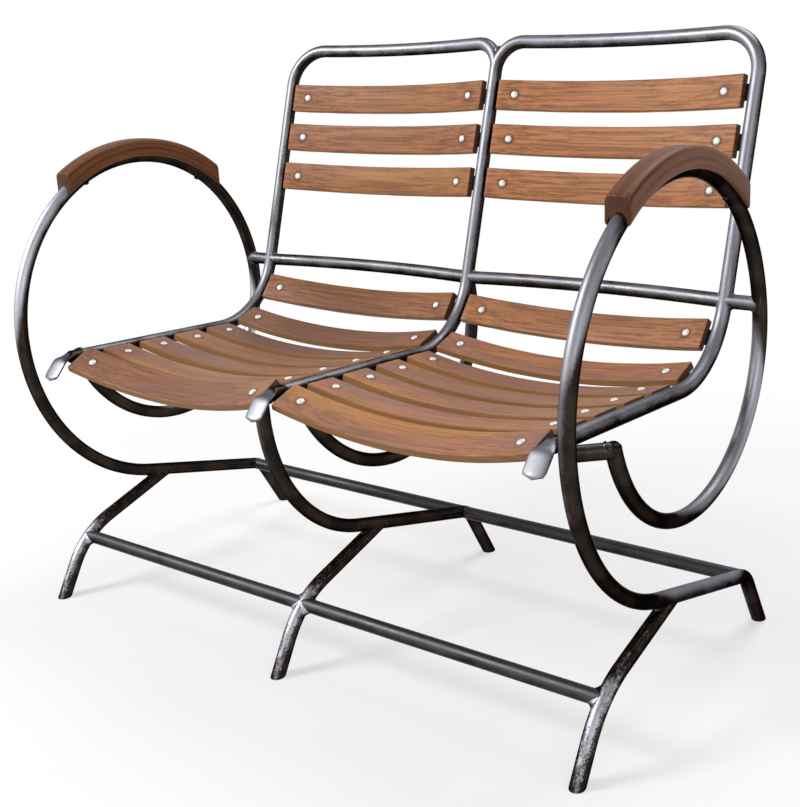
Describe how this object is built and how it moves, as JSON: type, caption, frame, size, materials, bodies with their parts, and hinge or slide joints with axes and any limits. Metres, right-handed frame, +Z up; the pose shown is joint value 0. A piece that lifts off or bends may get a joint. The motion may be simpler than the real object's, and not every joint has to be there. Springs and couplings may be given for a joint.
{
  "type": "glider bench",
  "caption": "Spring glider bench for a patio or porch: bent round tube hoops carry seat frames with curved wooden slats and wooden armrests.",
  "frame": {"origin": "on the floor, under the middle of the bench's width and depth", "axes": "+X across the bench towards the right end as seen from the front, +Y from front to back, +Z up"},
  "size_m": [1.081, 0.7016, 0.9155],
  "materials": {
    "tube_steel": "worn dark gunmetal with brighter rubbed places",
    "tab_steel": "dark gunmetal",
    "rivet_steel": "bright satin",
    "screw_steel": "satin",
    "slat_wood": "oiled, fine lengthwise grain",
    "armrest_wood": "oiled, fine lengthwise grain"
  },
  "bodies": {
    "base": {"left_hoop_lower": "tube_steel", "right_hoop_lower": "tube_steel", "middle_frame_lower": "tube_steel", "left_front_leg": "tube_steel", "middle_front_leg": "tube_steel", "right_front_leg": "tube_steel", "left_front_stretcher": "tube_steel", "left_rear_stretcher": "tube_steel", "right_front_stretcher": "tube_steel", "right_rear_stretcher": "tube_steel"},
    "seat_unit": {"left_hoop_upper": "tube_steel", "right_hoop_upper": "tube_steel", "middle_frame_upper": "tube_steel", "middle_rear_spring": "tube_steel", "left_rear_rail": "tube_steel", "left_rail_stub": "tube_steel", "left_seat_link": "tube_steel", "left_seat_frame": "tube_steel", "left_slat_tabs": "tab_steel", "left_slat_rivets": "rivet_steel", "left_armrest": "armrest_wood", "left_armrest_screws": "screw_steel", "right_rear_rail": "tube_steel", "right_rail_stub": "tube_steel", "right_seat_link": "tube_steel", "right_seat_frame": "tube_steel", "right_slat_tabs": "tab_steel", "right_slat_rivets": "rivet_steel", "right_armrest": "armrest_wood", "right_armrest_screws": "screw_steel", "left_slat_01": "slat_wood", "left_slat_02": "slat_wood", "left_slat_03": "slat_wood", "left_slat_04": "slat_wood", "left_slat_05": "slat_wood", "left_slat_06": "slat_wood", "left_slat_07": "slat_wood", "left_slat_08": "slat_wood", "left_slat_09": "slat_wood", "left_slat_10": "slat_wood", "right_slat_01": "slat_wood", "right_slat_02": "slat_wood", "right_slat_03": "slat_wood", "right_slat_04": "slat_wood", "right_slat_05": "slat_wood", "right_slat_06": "slat_wood", "right_slat_07": "slat_wood", "right_slat_08": "slat_wood", "right_slat_09": "slat_wood", "right_slat_10": "slat_wood"}
  },
  "joints": [
    {"name": "seat_spring", "type": "hinge", "parent": "base", "child": "seat_unit", "pos_m": [0, -0.2505, 0.2549], "axis": [-1, 0, 0], "range_deg": [-2.5, 5], "stiffness_Nm_per_rad": 6000, "springref_deg": -0.37}
  ]
}
